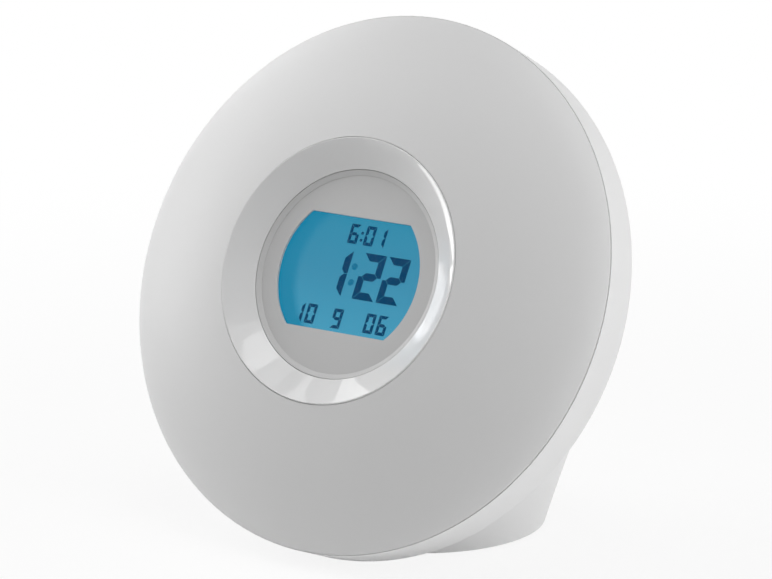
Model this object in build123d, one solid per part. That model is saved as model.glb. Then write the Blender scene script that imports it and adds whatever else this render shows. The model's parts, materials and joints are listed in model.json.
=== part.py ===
from build123d import *
import math
import os

# Sunrise alarm clock: a round lamp disc that leans back on an oblique cone with a round foot.
# Millimetres. The clock stands on z = 0, faces -Y, and the origin is the bottom centre of its box.
# "Face frame": its z axis is the disc's own axis, out of the face, with 0 at the bezel's outer edge.

# ---- the lamp disc -------------------------------------------------------------------------------
face_tilt = 24.08            # the face leans back by this many degrees
light_radius = 95.0          # rim of the diffuser, before its edge is rounded
light_rim_round = 0.3
light_rim_depth = 20.6       # rim of the diffuser behind the bezel edge
dome_edge_drop = 0.25        # dome's inner edge below the bezel's lip
shoulder_width = 9.0         # the dome bends faster from here out to its rim
shoulder_height = 6.7        # shoulder above the rim
shoulder_slope = 28.0        # the dome's fall at the shoulder, degrees
diffuser_wall = 2.0
skirt_length = 5.4           # skirt that drops into the housing
skirt_thickness = 1.8
collar_length = 7.1          # collar that hangs down around the bezel
collar_thickness = 1.9
collar_inset = 2.6           # collar's bore inside the bezel's edge
rim_gap = 0.1                # fine line between diffuser and housing
slip = 0.3                   # clearance of a moulding dropped into another
snug = 0.2                   # clearance of a part located by its neighbour
overlap = 1.0                # how far a cutter or a joined solid runs past a face
snap_count = 6
snap_angle = 10.0            # width of each snap lug, degrees
snap_height = 0.6
snap_width = 1.2
snap_drop = 3.7              # lug below the rim

# ---- display unit --------------------------------------------------------------------------------
bezel_radius = 46.6
bezel_cone_width = 9.9       # from the bezel's outer edge in to its mask
bezel_depth = 6.2            # how far the cone is dished in
bezel_edge_height = 0.9      # height of the bezel's outer edge over its seat
bezel_corner = 0.3           # its outer corner over the lip, before it is rounded
bezel_edge_round = 0.3
bezel_wall = 1.8
bezel_skirt_length = 14.0
bezel_skirt_wall = 1.6
bezel_ledge = 1.4            # bezel's inner edge over the mask's flange
mask_flange = 1.0
mask_edge_drop = 0.2         # top of the mask's rim below the bezel's inner edge
mask_bevel_width = 1.7       # the rim's bevel, in to the mask's flat
mask_bevel_drop = 0.9
mask_step = 0.2              # flat below the bevel
mask_seat_width = 2.5        # ledge that the mask bears on
mask_pocket_wall = 1.4
window_margin = 8.1          # grey ring between the bezel and the window
window_half_height = 20.15
lens_flange = 0.6
lens_land_gap = 0.25         # lens face below the mask's flat
lens_margin = 2.4            # flange around the window
lens_corner = 3.0
lcd_gap = 0.1                # lens to LCD cell
lcd_glass_thickness = 1.1
lcd_inset = 0.7              # LCD cell inside the lens flange, each side
lcd_margin = 0.85            # LCD cell past the window's flats
lcd_ledge = 6.0              # contact strip below the cell
guide_thickness = 3.0
guide_inset = 2.3            # light guide inside the LCD cell, left and right
guide_chamfer = 0.8
lamp_count = 3               # backlight lamps along the guide's left edge
lamp_pitch = 14.0
lamp_size = 3.4
lamp_depth = 1.2
strip_thickness = 0.8
strip_length = 36.0
holder_wall = 1.2
holder_floor = 1.6
holder_post_radius = 3.0
board_margin = 1.5           # display board inside the bezel's inner edge
board_thickness = 1.6
chip_corner = 0.6
display_board_gap = 3.6      # holder floor to board
zebra_width = 2.4
zebra_inset = 8.3            # zebra strip shorter than the cell, each end
display_screw_angles = (60, 120, 240, 300)
hub_post_angles = (0, 90, 180, 270)
board_post_angles = (30, 150, 210, 330)
display_chip_size = 11.0
display_chip_height = 1.4
display_chip_y = 6.0
display_socket_width = 14.0
display_socket_y = -14.0
socket_length = 4.5          # plug sockets, on both boards
socket_height = 4.2
ear_radius = 2.0             # screw bosses behind the bezel
ear_offset = 2.0             # their circle outside the mask's pocket

# ---- reflector tray and light engine -------------------------------------------------------------
tray_wall = 2.0
tray_back = 38.4             # back of the tray behind the bezel edge
tray_flange_back = 31.0
tray_flange_thickness = 1.6
tray_flare = 1.5             # how far the tray's side leans out
tray_corner = 0.6            # its rear corner outside the corner inside
tray_pilot_floor = 0.5       # left under the LED board's screw holes
led_screw_end = 0.1          # hole left beyond the screw's tip
hub_overlap = 3.0            # the tray's hub reaches up round the diffuser's collar
hub_post_gap = 0.6           # hub posts to the display holder
hub_screw_bite = 2.4
tray_hole_radius = 4.0       # wires pass through its middle
led_board_margin = 15.0      # board inside the diffuser's rim
led_board_gap = 1.0          # board's edge to the tray's side
led_board_hub_gap = 2.9      # board's bore outside the bezel's edge
led_board_screw_inset = 3.0
led_screw_angles = (15, 135, 255)
led_size = 5.0
led_height = 1.5
led_cup_radius = 1.8
led_cup_depth = 0.4
led_edge = 6.0               # outer ring of LEDs inside the board's edge
led_ring_pitch = 16.0
led_spacing = 33.0           # along each ring
tray_screw_count = 6
tray_screw_inset = 6.0       # screw circle inside the diffuser's rim

# ---- rear housing --------------------------------------------------------------------------------
band_inset = 0.1             # housing's front edge inside the diffuser's rim
band_taper = 0.6             # the band narrows by this much to the rear
band_rear_depth = 37.0       # rear corner of the band behind the bezel edge
band_corner = 2.0
band_clearance = 0.11        # rear corner above the table, before it is rounded
housing_wall = 2.5
band_wall = 2.1
band_floor = 1.7             # wall behind the band's rear corner
cone_top_inset = 7.0         # the cone grows out of the disc's back this far inside the rim
cone_top_depth = 39.5
valley_radius = 3.5
foot_radius = 44.0
foot_gap = 7.84              # foot's front edge behind the lowest point of the cone's top
cone_swell = 0.2             # middle section: half width over the mean of foot and top
cone_front_share = 0.586     # its front point, this far up from the foot to the top
cone_front_hollow = 0.7      # and this far above the straight line
cone_rear_share = 0.4815     # its rear point, this far up
cone_rear_bulge = 6.7        # and this far behind the straight line

# ---- rear keypad ---------------------------------------------------------------------------------
keypad_gap = 8.0             # main board above the speaker
keypad_width = 40.0
keypad_length = 50.0
keypad_corner = 7.0
keypad_recess = 3.6
keypad_floor = 2.2
keypad_frame = 3.0           # boss around the recess, inside the housing
keypad_margin = 4.0
snooze_gap = 2.4
snooze_length = 9.0
key_length = 7.4
key_gap = 3.0                # between rows
key_divide = 5.4             # between columns
key_proud = 1.4
key_round = 0.6
key_corner = 3.2
key_flange = 1.2
key_flange_thickness = 1.0
key_travel = 0.8
key_reserve = 0.5            # flange clear of the switch when pressed
stem_radius = 1.6
stem_depth = 0.8             # stem's end inside its switch at rest
switch_size = 6.0
switch_height = 3.5
key_run = 0.1                # running clearance of a stem in its switch
board_overhang = 8.0         # main board longer than the keypad
board_side = 9.0             # and wider, each side
# (size, height, x, y) of the controller, the amplifier and the radio module
board_chips = ((12.0, 1.6, -6.0, 4.0), (6.0, 1.5, 14.0, -8.0), (11.0, 2.4, -18.0, -7.0))
board_crystal = (3.2, 8.0, 1.2, 5.0, -8.0)  # (width, length, height, x, y)
# (radius, height, x, y) of the storage capacitors
board_cans = ((3.2, 9.0, 15.0, 8.0), (3.2, 9.0, 15.0, -20.0), (2.5, 7.0, -18.0, -19.0))
# (width, x, y) of the plug sockets
board_sockets = ((10.0, -2.0, -22.0), (12.5, 3.0, 18.0))
main_post_inset = 4.0
main_post_radius = 3.0

# ---- speaker -------------------------------------------------------------------------------------
speaker_gap = 3.0            # speaker above the inlet's boss
speaker_size = 50.0
speaker_corner = 5.0
speaker_flange = 1.0
speaker_body = 10.0          # basket behind its flange
speaker_hole_inset = 3.5
speaker_seat_inset = 2.0
speaker_seat_wall = 2.0
speaker_rim = 4.5            # cone's edge inside the flange's
speaker_bow_gap = 1.04       # flange clear of the curved wall
basket_wall = 0.9
basket_window_width = 8.0
basket_window_length = 9.0
basket_window_angles = (45, 135, 225, 315)
basket_end = 14.0
coil_gap_radius = 5.0
coil_radius = 4.3
coil_wall = 0.5
pole_radius = 3.4
magnet_radius = 14.0
magnet_length = 6.0
paper = 0.5
surround_width = 2.9
dust_cap_radius = 6.4
dust_cap_rise = 2.5
cone_neck = 3.0              # cone's inner end above the basket's floor
coil_depth = 2.0             # coil below that floor
surround_crown = 0.5         # width of the surround's flat crown, as a share of the surround
grille_inset = 5.0
grille_slot = 2.0
grille_shortest = 6.0        # no slot shorter than this
grille_pitch = 4.6

# ---- power inlet ---------------------------------------------------------------------------------
jack_height = 13.0
jack_flange_radius = 6.8
jack_flange_thickness = 1.2
jack_barrel_radius = 5.4
jack_bore_radius = 2.85
jack_bore_depth = 10.0
jack_pin_radius = 1.0
jack_pin_set = 1.0           # pin's tip below the mouth
jack_length = 14.0
jack_recess = 1.0            # flange sits in this counterbore
jack_recess_gap = 0.8         # round the inlet's flange
jack_boss = 2.2              # pad around the hole, inside the housing
jack_boss_depth = 4.6
jack_tag_width = 2.4
jack_tag_thickness = 0.5
jack_tag_length = 4.0
jack_tag_offset = 2.6        # each tag off the axis
jack_nut_across = 14.0
jack_nut_thickness = 2.4

# ---- base ----------------------------------------------------------------------------------------
pad_proud = 0.8              # rubber pads stand this far out of the base
pad_radius = 6.0
pad_thickness = 2.0
pad_round = 0.5
pad_inset = 13.0             # pad circle inside the foot's edge
pad_count = 4
cover_recess = 0.5
cover_thickness = 2.4
base_screw_inset = 6.0
base_post_angles = (45, 135, 225, 315)
base_head_seat = 1.0         # counterbore for the heads
base_post_radius = 3.4
base_post_length = 16.0
base_rib_length = 14.0
base_rib_thickness = 2.0
cell_radius = 10.0
cell_thickness = 3.2
cell_rim = 1.4               # step around the cell's smaller pole
cell_gap = 0.4               # cell over the door's lugs
cell_guide_wall = 1.0
door_margin = 2.0            # door wider than the cell, each side
door_thickness = 2.0
door_rim_wall = 1.6
door_lug_reach = 1.6
door_lug_angle = 30.0
door_lug_thickness = 1.0
door_lug_play = 6.0          # notches wider than the lugs, degrees
door_play = 0.1              # lugs over the cover
door_turn = 60.0
door_slot = 2.2              # coin slot
door_slot_length = 15.0
well_height = 6.5
well_wall = 1.2
contact_thickness = 0.3
contact_length = 14.0
contact_width = 5.0
contact_corner = 1.0
contact_tag_radius = 1.2
leaf_thickness = 0.4
leaf_width = 4.0
contact_gap_angle = 30.0     # break in the cell's guide, for the side contact

# ---- screws --------------------------------------------------------------------------------------
screw_radius = 1.1
screw_head_radius = 2.4
screw_head_height = 1.7
screw_slot_width = 0.5
screw_slot_depth = 0.8
screw_bite = 4.4             # thread held in plastic
base_screw_radius = 1.4
base_screw_head_radius = 2.8
base_screw_length = 11.0
pilot_gap = 0.05
through_gap = 0.3

# ---- frames --------------------------------------------------------------------------------------
tilt_sin = math.sin(math.radians(face_tilt))
tilt_cos = math.cos(math.radians(face_tilt))

band_front_radius = light_radius - band_inset
band_rear_radius = band_front_radius - band_taper
band_inside = band_front_radius - band_wall
cone_top_radius = light_radius - cone_top_inset

# the band's rear corner clears the table
face_height = band_clearance + band_rear_radius * tilt_cos + band_rear_depth * tilt_sin

# the dome is two arcs that meet in line at its shoulder
dome_start = (bezel_radius + snug, -dome_edge_drop)
dome_end = (light_radius, -light_rim_depth)
shoulder = (light_radius - shoulder_width, shoulder_height - light_rim_depth)
shoulder_normal = (math.sin(math.radians(shoulder_slope)), math.cos(math.radians(shoulder_slope)))


def shoulder_arc(point):
    """Centre and radius of the arc from a point that runs smoothly into the shoulder."""
    across = (point[0] - shoulder[0], point[1] - shoulder[1])
    along = across[0] * shoulder_normal[0] + across[1] * shoulder_normal[1]
    radius = -(across[0] ** 2 + across[1] ** 2) / (2 * along)
    return (shoulder[0] - shoulder_normal[0] * radius, shoulder[1] - shoulder_normal[1] * radius), radius


dome_centre, dome_radius = shoulder_arc(dome_start)
rim_centre, rim_radius = shoulder_arc(dome_end)

# the dome's foremost point and the foot's rearmost one set the middle of the box
reach_centre, reach_radius = dome_centre, dome_radius
if face_tilt > shoulder_slope:
    reach_centre, reach_radius = rim_centre, rim_radius
front_reach = reach_centre[0] * tilt_sin + reach_centre[1] * tilt_cos + reach_radius
cone_top_y = cone_top_depth * tilt_cos
cone_top_z = face_height - cone_top_depth * tilt_sin
foot_offset = cone_top_y - cone_top_radius * tilt_sin + foot_gap + foot_radius
face_y = (front_reach - foot_offset - foot_radius) / 2
foot_y = face_y + foot_offset

face = Plane(origin=(0, face_y, face_height), x_dir=(1, 0, 0), z_dir=(0, -tilt_cos, tilt_sin))
foot = Plane(origin=(0, foot_y, 0))


def dome_level(radius, wall=0.0):
    """Height of the dome's surface, or of one offset inwards, at a radius from the axis."""
    centre, bend = dome_centre, dome_radius
    if radius > shoulder[0] - wall * shoulder_normal[0]:
        centre, bend = rim_centre, rim_radius
    return centre[1] + math.sqrt((bend - wall) ** 2 - (radius - centre[0]) ** 2)


def dome_arc(start, end, wall=0.0):
    """Arc of the dome's surface, or of one offset inwards, between two points on it."""
    middle = (start[0] + end[0]) / 2
    return ThreePointArc(start, (middle, dome_level(middle, wall)), end)


def turned(*points, angle=360.0):
    """Solid of revolution about Z from a closed outline of (radius, height) points."""
    outline = Polyline(*points, close=True)
    return revolve(Plane.XZ * make_face(outline), Axis.Z, angle)


def disc(radius, low, high, x=0.0, y=0.0):
    return Pos(x, y, (low + high) / 2) * Cylinder(radius, high - low)


def ring(outer, inner, low, high):
    return disc(outer, low, high) - disc(inner, low - overlap, high + overlap)


def block(width, length, low, high, x=0.0, y=0.0):
    return Pos(x, y, (low + high) / 2) * Box(width, length, high - low)


def slab(width, length, corner, low, high, x=0.0, y=0.0):
    """Plate with rounded corners."""
    return extrude(Pos(x, y, low) * RectangleRounded(width, length, corner), high - low)


def sector(outer, inner, width, low, high, angle):
    """Part of a flat ring, centred on an angle."""
    piece = turned((inner, low), (outer, low), (outer, high), (inner, high), angle=width)
    return Rot(0, 0, angle - width / 2) * piece


def around(radius, angles):
    """Places on a circle, given in degrees."""
    return [Pos(radius * math.cos(math.radians(a)), radius * math.sin(math.radians(a))) for a in angles]


def evenly(count, start=0.0):
    return [start + 360 / count * i for i in range(count)]


def corners(x, y):
    return [Pos(side * x, end * y) for side in (-1, 1) for end in (-1, 1)]


def group(solids):
    return Compound([solid for shape in solids for solid in shape.solids()])


def copies(piece, places):
    return group([place * piece for place in places])


def pilot_hole(low, high):
    return disc(screw_radius + pilot_gap, low, high)


def blind_pilot(mouth):
    """Pilot hole into a boss that opens downwards at a level."""
    return pilot_hole(mouth - overlap, mouth + screw_bite + overlap / 2)


def through_hole(low, high):
    return disc(screw_radius + through_gap, low, high)


def screw(radius, head_radius, length):
    """Cross-slot screw: the head stands on z = 0 and the shank points down."""
    head = disc(head_radius, 0, screw_head_height)
    head = fillet(head.edges().group_by(Axis.Z)[-1], screw_slot_depth)
    slot = block(
        head_radius + screw_slot_width,
        screw_slot_width,
        screw_head_height - screw_slot_depth,
        screw_head_height + overlap,
    )
    return head + disc(radius, -length, 0) - slot - Rot(0, 0, 90) * slot


def small_screw(held):
    """Screw through a piece of the given thickness and into plastic."""
    return screw(screw_radius, screw_head_radius, held + screw_bite)


def from_behind(level, piece):
    return Pos(0, 0, level) * Rot(180, 0, 0) * piece


# ---- light diffuser ------------------------------------------------------------------------------
collar_inner = bezel_radius - collar_inset
collar_outer = collar_inner + collar_thickness
collar_end = -bezel_edge_height - collar_length
skirt_outer = band_inside - slip
skirt_inner = skirt_outer - skirt_thickness
skirt_end = -light_rim_depth - skirt_length
snap_level = -light_rim_depth - snap_drop


def light_diffuser():
    wall = diffuser_wall
    inner_end = (skirt_inner, dome_level(skirt_inner, wall))
    inner_start = (collar_outer, dome_level(collar_outer, wall))
    inner_shoulder = (shoulder[0] - wall * shoulder_normal[0], shoulder[1] - wall * shoulder_normal[1])
    outline = [
        dome_arc(dome_start, shoulder),
        dome_arc(shoulder, dome_end),
        Polyline(
            dome_end,
            (skirt_outer, -light_rim_depth),
            (skirt_outer, skirt_end),
            (skirt_inner, skirt_end),
            inner_end,
        ),
        dome_arc(inner_end, inner_shoulder, wall),
        dome_arc(inner_shoulder, inner_start, wall),
        Polyline(
            inner_start,
            (collar_outer, collar_end),
            (collar_inner, collar_end),
            (collar_inner, -bezel_edge_height),
            (dome_start[0], -bezel_edge_height),
            dome_start,
        ),
    ]
    section = make_face(outline)
    section = fillet(section.vertices().sort_by(Axis.X)[-1], light_rim_round)
    shell = revolve(Plane.XZ * section, Axis.Z)
    lug = turned(
        (skirt_outer - snap_height, snap_level + snap_width / 2),
        (skirt_outer, snap_level + snap_width / 2),
        (skirt_outer + snap_height, snap_level),
        (skirt_outer, snap_level - snap_width),
        (skirt_outer - snap_height, snap_level - snap_width),
        angle=snap_angle,
    )
    for angle in evenly(snap_count, 180 / snap_count - snap_angle / 2):
        shell += Rot(0, 0, angle) * lug
    return face.location * shell


# ---- display unit: levels along the disc's axis --------------------------------------------------
bezel_inner_radius = bezel_radius - bezel_cone_width
mask_seat = -bezel_depth - bezel_ledge
mask_back = mask_seat - mask_flange
mask_rim = -bezel_depth - mask_edge_drop
mask_face = mask_rim - mask_bevel_drop - mask_step
lens_back = mask_back - lens_flange
lcd_front = lens_back - lcd_gap
lcd_step = lcd_front - lcd_glass_thickness
lcd_back = lcd_step - lcd_glass_thickness
guide_front = lcd_back - snug
guide_back = guide_front - guide_thickness
holder_front = guide_back - lcd_gap
holder_back = holder_front - holder_floor
display_board_front = holder_back - display_board_gap
display_board_back = display_board_front - board_thickness

pocket_radius = bezel_inner_radius + mask_seat_width
pocket_outer = pocket_radius + mask_pocket_wall
mask_radius = pocket_radius - snug
skirt_radius = collar_inner - snug
skirt_bore = skirt_radius - bezel_skirt_wall
ear_circle = pocket_radius + ear_offset

window_radius = bezel_inner_radius - window_margin
lens_width = 2 * (window_radius + lens_margin)
lens_height = 2 * (window_half_height + lens_margin)
lcd_width = lens_width - 2 * lcd_inset
lcd_half_height = window_half_height + lcd_margin
guide_width = lcd_width - 2 * guide_inset
guide_height = 2 * (lcd_half_height - snug - snug)
zebra_length = lcd_width - 2 * zebra_inset
zebra_y = -lcd_half_height - lcd_ledge / 2
display_board_radius = bezel_inner_radius - board_margin


def window_shape(shrink=0.0):
    """Round window with a flat top and bottom."""
    return Circle(window_radius - shrink) & Rectangle(2 * window_radius, 2 * (window_half_height - shrink))


def display_bezel():
    slope = (bezel_depth + bezel_corner) / bezel_cone_width
    drop = bezel_wall * math.hypot(1, slope)

    def underside(radius):
        return bezel_corner - (bezel_radius - radius) * slope - drop

    outline = Polyline(
        (bezel_inner_radius, -bezel_depth),
        (bezel_radius, bezel_corner),
        (bezel_radius, -bezel_edge_height),
        (skirt_radius, -bezel_edge_height),
        (skirt_radius, -bezel_skirt_length),
        (skirt_bore, -bezel_skirt_length),
        (skirt_bore, underside(skirt_bore)),
        (pocket_outer, underside(pocket_outer)),
        (pocket_outer, lens_back),
        (pocket_radius, lens_back),
        (pocket_radius, mask_seat),
        (bezel_inner_radius, mask_seat),
        close=True,
    )
    section = make_face(outline)
    section = fillet(section.vertices().sort_by(Axis.Y)[-1], bezel_edge_round)
    body = revolve(Plane.XZ * section, Axis.Z)
    boss = disc(ear_radius, -bezel_skirt_length, underside(ear_circle) + overlap / 2)
    for place in around(ear_circle, display_screw_angles):
        body += place * boss
        body -= place * blind_pilot(-bezel_skirt_length)
    return face.location * body


def display_mask():
    edge_radius = bezel_inner_radius - snug
    flat_radius = edge_radius - mask_bevel_width
    plate = turned(
        (0, mask_back),
        (mask_radius, mask_back),
        (mask_radius, mask_seat),
        (edge_radius, mask_seat),
        (edge_radius, mask_rim),
        (flat_radius, mask_rim - mask_bevel_drop),
        (flat_radius, mask_face),
        (0, mask_face),
    )
    window = extrude(Pos(0, 0, mask_back - overlap) * window_shape(), mask_face - mask_back + 2 * overlap)
    return face.location * (plate - window)


def display_lens():
    flange = slab(lens_width, lens_height, lens_corner, lens_back, mask_back)
    land = extrude(Pos(0, 0, mask_back) * window_shape(snug), mask_face - lens_land_gap - mask_back)
    return face.location * (flange + land)


def lcd_front_glass():
    height = 2 * lcd_half_height + lcd_ledge
    return face.location * block(lcd_width, height, lcd_step, lcd_front, y=-lcd_ledge / 2)


def lcd_rear_glass():
    return face.location * block(lcd_width, 2 * lcd_half_height, lcd_back, lcd_step)


def light_guide():
    plate = block(guide_width, guide_height, guide_back, guide_front)
    return face.location * chamfer(plate.edges().group_by(Axis.X)[-1], guide_chamfer)


strip_x = -guide_width / 2 - snug


def backlight_leds():
    lamp = block(lamp_depth, lamp_size, guide_back + snug, guide_front - snug, strip_x - lamp_depth / 2)
    middle = (lamp_count - 1) / 2
    places = [Pos(0, (i - middle) * lamp_pitch) for i in range(lamp_count)]
    return face.location * copies(lamp, places)


def backlight_board():
    x = strip_x - lamp_depth - strip_thickness / 2
    return face.location * block(strip_thickness, strip_length, guide_back, guide_front, x)


def zebra_strip():
    return face.location * block(zebra_length, zebra_width, display_board_front, lcd_step, y=zebra_y)


def display_holder():
    """White tray: carries the display and the light guide, and closes the bezel from behind."""
    wide = lcd_width + 2 * snug
    tall = 2 * lcd_half_height + lcd_ledge + 2 * snug
    middle = -lcd_ledge / 2
    flange_front = -bezel_skirt_length
    flange_back = flange_front - holder_floor
    walls = block(wide + 2 * holder_wall, tall + 2 * holder_wall, holder_back, lcd_front - slip, y=middle)
    body = walls & disc(skirt_bore - slip, holder_back, 0)
    body += disc(skirt_radius - snug, flange_back, flange_front)
    for place in around(ear_circle, hub_post_angles):
        body += place * disc(holder_post_radius, hub_post_top, flange_front)
    body -= block(wide, tall, holder_front, 0, y=middle)
    body -= block(zebra_length + 2 * slip, zebra_width + 2 * slip, holder_back - overlap, 0, y=zebra_y)
    for place in around(display_board_radius - 2 * holder_post_radius, board_post_angles):
        body += place * disc(ear_radius, display_board_front, holder_front)
    for place in around(ear_circle, display_screw_angles):
        body -= place * through_hole(holder_back - overlap, 0)
        body -= place * disc(ear_radius + slip, flange_front, 0)
    for place in around(ear_circle, hub_post_angles):
        body -= place * pilot_hole(hub_post_top - overlap, flange_front)
    return face.location * body


def display_board():
    """Display driver board, its lower edge cut straight, with its chip and plug socket."""
    body = disc(display_board_radius, display_board_back, display_board_front)
    side = 2 * display_board_radius
    cut = display_board_radius * 2 - holder_post_radius
    body &= block(side, side, display_board_back, display_board_front, y=display_board_radius - cut)
    back = display_board_back
    size = display_chip_size
    chip = slab(size, size, chip_corner, back - display_chip_height, back, y=display_chip_y)
    socket = block(display_socket_width, socket_length, back - socket_height, back, y=display_socket_y)
    return face.location * (body + chip + socket)


def display_screws():
    piece = from_behind(-bezel_skirt_length - holder_floor, small_screw(holder_floor))
    return face.location * copies(piece, around(ear_circle, display_screw_angles))


# ---- reflector tray and light engine -------------------------------------------------------------
hub_inner = collar_outer + slip
hub_outer = hub_inner + diffuser_wall
hub_top = collar_end + hub_overlap
tray_front = -tray_back + tray_wall
hub_post_top = holder_back - hub_post_gap
flange_low = -tray_flange_back
flange_high = flange_low + tray_flange_thickness
tray_rim = skirt_outer - snug
tray_screw_circle = light_radius - tray_screw_inset
led_board_outer = light_radius - led_board_margin
led_board_inner = bezel_radius + led_board_hub_gap
led_board_front = tray_front + board_thickness
led_screw_places = around(led_board_inner + led_board_screw_inset, led_screw_angles)


def reflector_tray():
    corner = led_board_outer + led_board_gap
    body = turned(
        (tray_hole_radius, -tray_back),
        (corner + tray_corner, -tray_back),
        (corner + tray_flare + tray_wall, flange_low),
        (tray_rim, flange_low),
        (tray_rim, flange_high),
        (corner + tray_flare, flange_high),
        (corner, tray_front),
        (hub_outer, tray_front),
        (hub_outer, hub_top),
        (hub_inner, hub_top),
        (hub_inner, tray_front),
        (tray_hole_radius, tray_front),
    )
    for place in around(ear_circle, hub_post_angles):
        body += place * disc(holder_post_radius, tray_front, hub_post_top)
        body -= place * through_hole(-tray_back - overlap, hub_post_top + overlap)
    for place in around(tray_screw_circle, evenly(tray_screw_count)):
        body -= place * through_hole(flange_low - overlap, flange_high + overlap)
    for place in led_screw_places:
        body -= place * pilot_hole(-tray_back + tray_pilot_floor, tray_front + overlap)
    return face.location * body


def led_board():
    body = ring(led_board_outer, led_board_inner, tray_front, led_board_front)
    for place in led_screw_places:
        body -= place * through_hole(tray_front - overlap, led_board_front + overlap)
    return face.location * body


def leds():
    """Rings of LEDs from the board's outer edge inwards, as many as fit."""
    top = led_board_front + led_height
    piece = block(led_size, led_size, led_board_front, top)
    piece -= disc(led_cup_radius, top - led_cup_depth, top + overlap)
    radius = led_board_outer - led_edge
    lamps = []
    while radius - led_size > led_board_inner + led_board_screw_inset:
        count = int(2 * math.pi * radius / led_spacing)
        lamps += [Rot(0, 0, angle) * Pos(radius, 0, 0) * piece for angle in evenly(count, 180 / count)]
        radius -= led_ring_pitch
    return face.location * group(lamps)


def led_board_screws():
    length = board_thickness + tray_wall - tray_pilot_floor - led_screw_end
    piece = screw(screw_radius, screw_head_radius, length)
    return face.location * copies(Pos(0, 0, led_board_front) * piece, led_screw_places)


def tray_screws():
    piece = Pos(0, 0, flange_high) * small_screw(tray_flange_thickness)
    return face.location * copies(piece, around(tray_screw_circle, evenly(tray_screw_count)))


def hub_screws():
    length = tray_back + hub_post_top + hub_screw_bite
    piece = from_behind(-tray_back, screw(screw_radius, screw_head_radius, length))
    return face.location * copies(piece, around(ear_circle, hub_post_angles))


# ---- rear housing --------------------------------------------------------------------------------
def side_point(end, share, y_shift, z_shift):
    """Point of the cone's side view, part of the way up from the foot: end is -1 in front, 1 behind."""
    low = Vector(0, foot_y + end * foot_radius, pad_proud)
    high = Vector(
        0,
        face_y + cone_top_y + end * cone_top_radius * tilt_sin,
        cone_top_z + end * cone_top_radius * tilt_cos,
    )
    return low + (high - low) * share + Vector(0, y_shift, z_shift)


cone_mid_front = side_point(-1, cone_front_share, 0, cone_front_hollow)
cone_mid_rear = side_point(1, cone_rear_share, cone_rear_bulge, 0)
cone_mid_width = (foot_radius + cone_top_radius) / 2 + cone_swell
cone_mid_height = (cone_mid_rear - cone_mid_front).length / 2


def cone(shrink, top_depth):
    """Oblique cone from the round foot up to the disc's back, or its inner face."""
    base = foot.offset(pad_proud) * Circle(foot_radius - shrink)
    middle_plane = Plane(
        origin=(cone_mid_front + cone_mid_rear) / 2,
        x_dir=(1, 0, 0),
        z_dir=Vector(1, 0, 0).cross(cone_mid_rear - cone_mid_front),
    )
    middle = middle_plane * Ellipse(cone_mid_width - shrink, cone_mid_height - shrink)
    top = face.offset(-top_depth) * Circle(cone_top_radius - shrink)
    return loft([base, middle, top])


def circles(body, radius):
    """Round edges of one radius."""
    round_edges = body.edges().filter_by(GeomType.CIRCLE)
    return round_edges.filter_by(lambda edge: abs(edge.radius - radius) < 0.01)


def housing_outside():
    disc_body = turned(
        (0, -light_rim_depth - rim_gap),
        (band_front_radius, -light_rim_depth - rim_gap),
        (band_rear_radius, -band_rear_depth),
        (cone_top_radius, -cone_top_depth),
        (0, -cone_top_depth),
    )
    disc_body = fillet(circles(disc_body, band_rear_radius), band_corner)
    body = face.location * disc_body + cone(0, cone_top_depth)
    return fillet(circles(body, cone_top_radius), valley_radius)


def housing_inside():
    inner_depth = cone_top_depth - housing_wall
    corner_depth = band_rear_depth - band_floor
    hollow = face.location * turned(
        (0, 0),
        (band_inside, 0),
        (band_inside, -tray_flange_back + overlap),
        (band_inside - band_taper, -corner_depth),
        (cone_top_radius - housing_wall, -inner_depth),
        (0, -inner_depth),
    )
    hollow += cone(housing_wall, inner_depth)
    return hollow + foot.location * disc(foot_radius - housing_wall, 0, pad_proud + overlap)


outside = housing_outside()


def rear_plane(height):
    """Plane on the cone's rear centre line: local x to the right seen from behind, local z outwards."""
    hits = outside.find_intersection_points(Axis((0, foot_y, height), (0, 1, 0)))
    point, normal = max(hits, key=lambda hit: hit[0].Y)
    normal = normal if normal.Y > 0 else -normal
    return Plane(origin=point, x_dir=(-1, 0, 0), z_dir=(0, normal.Y, normal.Z))


beyond = 5.0                 # cutters reach this far out of the rear wall
main_board_width = keypad_width + 2 * board_side
main_board_length = keypad_length + board_overhang
speaker_height = jack_height + jack_flange_radius + jack_boss + speaker_gap + speaker_size / 2
keypad_height = speaker_height + speaker_size / 2 + keypad_gap + main_board_length / 2
keypad = rear_plane(keypad_height)
speaker = rear_plane(speaker_height)
inlet = rear_plane(jack_height)

keypad_inner = -keypad_recess - keypad_floor
flange_front = keypad_inner - key_run
switch_top = flange_front - key_flange_thickness - key_travel - key_reserve
stem_end = switch_top - stem_depth
main_board_front = switch_top - switch_height
main_board_back = main_board_front - board_thickness
main_posts = corners(main_board_width / 2 - main_post_inset, main_board_length / 2 - main_post_inset)

snooze_width = keypad_width - 2 * keypad_margin
key_width = (snooze_width - key_divide) / 2
key_column = (snooze_width - key_width) / 2
snooze_y = keypad_length / 2 - keypad_margin - snooze_length / 2
first_row = snooze_y - snooze_length / 2 - snooze_gap - key_length / 2
key_places = {"snooze_key": (0.0, snooze_y, snooze_width, snooze_length)}
key_names = (("alarm_key", "time_key"), ("light_key", "radio_key"), ("down_key", "up_key"))
for row, (left_name, right_name) in enumerate(key_names):
    row_y = first_row - row * (key_length + key_gap)
    key_places[left_name] = (-key_column, row_y, key_width, key_length)
    key_places[right_name] = (key_column, row_y, key_width, key_length)

speaker_bow = (speaker_size / 2) ** 2 / (foot_radius + cone_mid_width)
speaker_depth = housing_wall + speaker_bow + speaker_bow_gap
speaker_posts = corners(speaker_size / 2 - speaker_hole_inset, speaker_size / 2 - speaker_hole_inset)
speaker_seat_radius = speaker_size / 2 - speaker_seat_inset
grille_radius = speaker_size / 2 - grille_inset

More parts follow.
